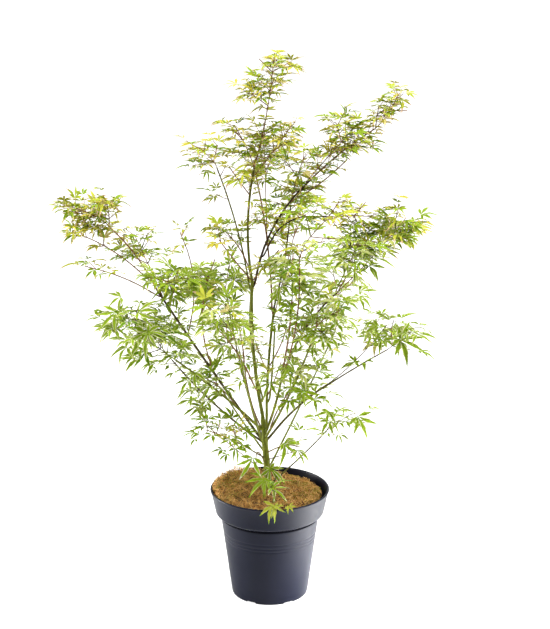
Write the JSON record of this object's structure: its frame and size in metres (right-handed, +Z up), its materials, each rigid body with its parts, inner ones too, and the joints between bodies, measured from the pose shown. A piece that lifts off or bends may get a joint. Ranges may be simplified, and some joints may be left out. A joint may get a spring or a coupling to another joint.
{
  "type": "potted japanese maple",
  "caption": "Young variegated maple with slender forking stems and small lobed leaves, in a plain round grow pot with a coir mat on the soil.",
  "frame": {"origin": "centre of the pot's flat underside, on the ground", "axes": "+Z up along the pot's axis, +X to the right of the front view, +Y away from the viewer"},
  "size_m": [0.5964, 0.4077, 0.8709],
  "materials": {
    "pot": "satin anthracite, moulded",
    "potting_mix": "dark, crumbly and moist",
    "coir": "loose golden-brown fibre",
    "bark": "smooth young bark, olive green below and reddish above",
    "foliage": "matt leaves, green with cream margins and pinkish young tips"
  },
  "bodies": {
    "root": {"pot": "pot", "root_ball": "potting_mix", "coir_mat": "coir", "trunk": "bark", "leader_low": "bark", "leader_mid": "bark", "leader_top": "bark", "left_spur": "bark", "long_right_high": "bark", "long_right_low": "bark", "low_back_right": "bark", "low_right": "bark", "low_right_out": "bark", "right_arch": "bark", "right_long": "bark", "stem_b_cross": "bark", "stem_b_high": "bark", "stem_b_low": "bark", "stem_c_high": "bark", "stem_c_low": "bark", "stem_d": "bark", "stem_f": "bark", "stem_h": "bark", "stem_i": "bark", "stem_j": "bark", "stem_k_high": "bark", "stem_k_low": "bark", "stem_l": "bark", "stem_m": "bark", "stem_red": "bark", "leaves_back_high": "foliage", "leaves_back_right": "foliage", "leaves_back_top": "foliage", "leaves_centre": "foliage", "leaves_far_left": "foliage", "leaves_far_right_tip": "foliage", "leaves_front": "foliage", "leaves_front_left": "foliage", "leaves_front_right": "foliage", "leaves_inner_left": "foliage", "leaves_left_bottom": "foliage", "leaves_left_low_in": "foliage", "leaves_left_low_out": "foliage", "leaves_left_mid": "foliage", "leaves_left_spur": "foliage", "leaves_left_wing": "foliage", "leaves_long_bough": "foliage", "leaves_low_left": "foliage", "leaves_low_right": "foliage", "leaves_low_right_fan": "foliage", "leaves_low_right_tip": "foliage", "leaves_low_right_top": "foliage", "leaves_right_high": "foliage", "leaves_right_low": "foliage", "leaves_right_mid": "foliage", "leaves_right_out": "foliage", "leaves_top": "foliage", "leaves_upper_centre": "foliage", "leaves_upper_left": "foliage", "leaves_upper_right": "foliage"}
  },
  "joints": []
}
